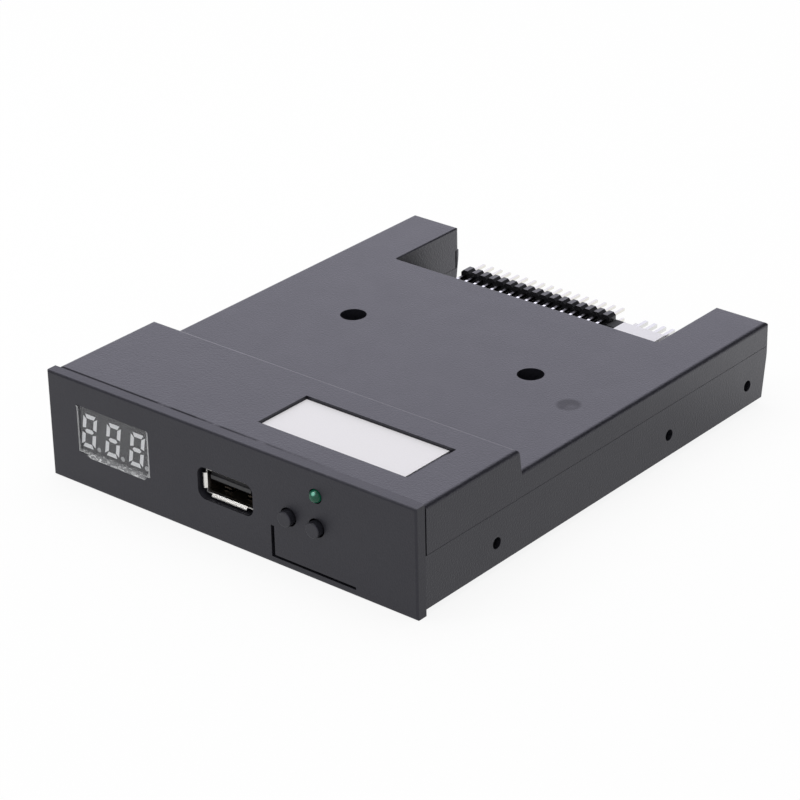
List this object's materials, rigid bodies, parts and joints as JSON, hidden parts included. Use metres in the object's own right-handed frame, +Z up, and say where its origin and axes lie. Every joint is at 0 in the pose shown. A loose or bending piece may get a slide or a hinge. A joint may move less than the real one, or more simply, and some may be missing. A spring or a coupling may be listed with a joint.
{
  "type": "floppy drive emulator",
  "caption": "Bay-mounted floppy drive emulator: moulded case with rear arms, bezel with digit display, data port, press buttons and light, board with floppy header and power plug.",
  "frame": {"origin": "middle of the bounding box, on the lowest plane of the bezel", "axes": "+X to the right seen from the front, +Y from the bezel to the rear connectors, +Z up"},
  "size_m": [0.1016, 0.1244, 0.025],
  "materials": {
    "case_plastic": "fine spark-eroded texture, black",
    "bezel_plastic": "fine spark-eroded texture, black",
    "label_paper": "satin white",
    "clear_film": "clear thin film",
    "display_face": "dark grey, satin",
    "segment_resin": "milky resin",
    "circuit_board": "black solder mask",
    "chip_resin": "moulded, fine grain",
    "connector_black": "moulded, satin",
    "gold_plate": "flash gold plate",
    "tinned_metal": "tinned",
    "zinc_steel": "zinc plated",
    "black_steel": "black zinc",
    "nickel_shell": "nickel plated sheet",
    "green_lens": "tinted clear epoxy",
    "button_plastic": "moulded, satin black",
    "white_nylon": "natural nylon",
    "capacitor_can": "bare can"
  },
  "bodies": {
    "case": {"upper_shell": "case_plastic", "lower_shell": "case_plastic", "front_bezel": "bezel_plastic", "label": "label_paper", "display_film": "clear_film", "display_module": "display_face", "display_segments": "segment_resin", "display_board": "circuit_board", "display_driver": "chip_resin", "display_link": "connector_black", "display_link_pins": "gold_plate", "display_screws": "zinc_steel", "status_led": "green_lens", "led_leads": "tinned_metal", "switch_body_left": "connector_black", "switch_body_right": "connector_black", "switch_frame_left": "tinned_metal", "switch_frame_right": "tinned_metal", "switch_dome_left": "tinned_metal", "switch_dome_right": "tinned_metal", "port_shell": "nickel_shell", "port_tongue": "connector_black", "port_contacts": "gold_plate", "main_board": "circuit_board", "floppy_header": "connector_black", "floppy_pins": "gold_plate", "power_connector": "white_nylon", "power_pins": "tinned_metal", "input_capacitor": "chip_resin", "microcontroller": "chip_resin", "crystal": "nickel_shell", "regulator": "chip_resin", "line_driver": "chip_resin", "filter_capacitors": "capacitor_can", "board_screws": "zinc_steel", "case_screws": "black_steel"},
    "button_left": {"button_left": "button_plastic"},
    "button_right": {"button_right": "button_plastic"}
  },
  "joints": [
    {"name": "button_left_press", "type": "slide", "parent": "case", "child": "button_left", "axis": [0, 1, 0], "range_m": [0, 0.00025], "stiffness_N_per_m": 6000},
    {"name": "button_right_press", "type": "slide", "parent": "case", "child": "button_right", "axis": [0, 1, 0], "range_m": [0, 0.00025], "stiffness_N_per_m": 6000}
  ]
}
